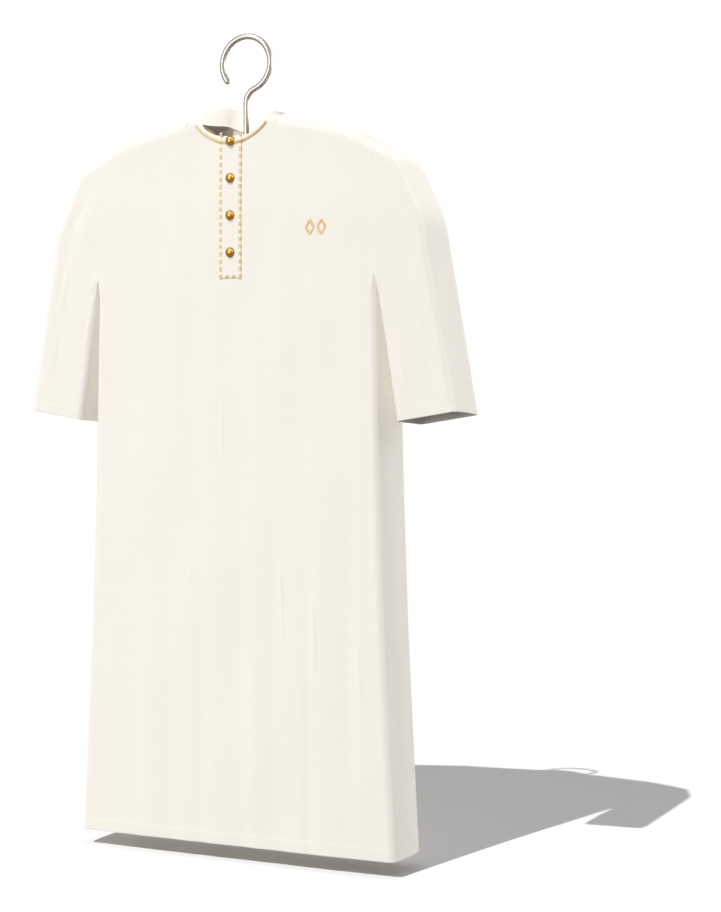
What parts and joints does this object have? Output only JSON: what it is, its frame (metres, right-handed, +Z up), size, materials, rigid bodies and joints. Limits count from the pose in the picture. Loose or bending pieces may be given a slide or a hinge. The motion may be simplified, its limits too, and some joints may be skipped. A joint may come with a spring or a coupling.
{
  "type": "thobe robe on hanger",
  "caption": "Ankle-length cream robe with elbow-length sleeves, band collar, gold-stitched button strip and metal buttons, hung on a wide wooden hanger.",
  "frame": {"origin": "underside of the top of the hanger's hook, where a rail carries it", "axes": "+Z up; the robe's front faces -Y; +X is the wearer's left"},
  "size_m": [0.982, 0.1416, 1.6472],
  "materials": {
    "front_cotton": "matt cream cotton, plain weave, soft vertical folds",
    "back_cotton": "matt cream cotton, plain weave, soft vertical folds",
    "gore_cotton": "matt cream cotton, plain weave",
    "sleeve_cotton": "matt cream cotton, plain weave, hemmed cuff",
    "collar_cotton": "cream cotton band, two layers",
    "strip_cotton": "cream cotton strip with gold running stitches",
    "gold_braid": "narrow twisted gold braid",
    "button_metal": "polished gold-coloured dome",
    "hanger_wood": "varnished brown wood",
    "hook_steel": "warm nickel-plated tube"
  },
  "bodies": {
    "root": {"front": "front_cotton", "back": "back_cotton", "gore_left": "gore_cotton", "gore_right": "gore_cotton", "sleeve_left": "sleeve_cotton", "sleeve_right": "sleeve_cotton", "collar": "collar_cotton", "button_strip": "strip_cotton", "neck_braid": "gold_braid", "button_1": "button_metal", "button_2": "button_metal", "button_3": "button_metal", "button_4": "button_metal", "hanger": "hanger_wood", "hook": "hook_steel"}
  },
  "joints": []
}
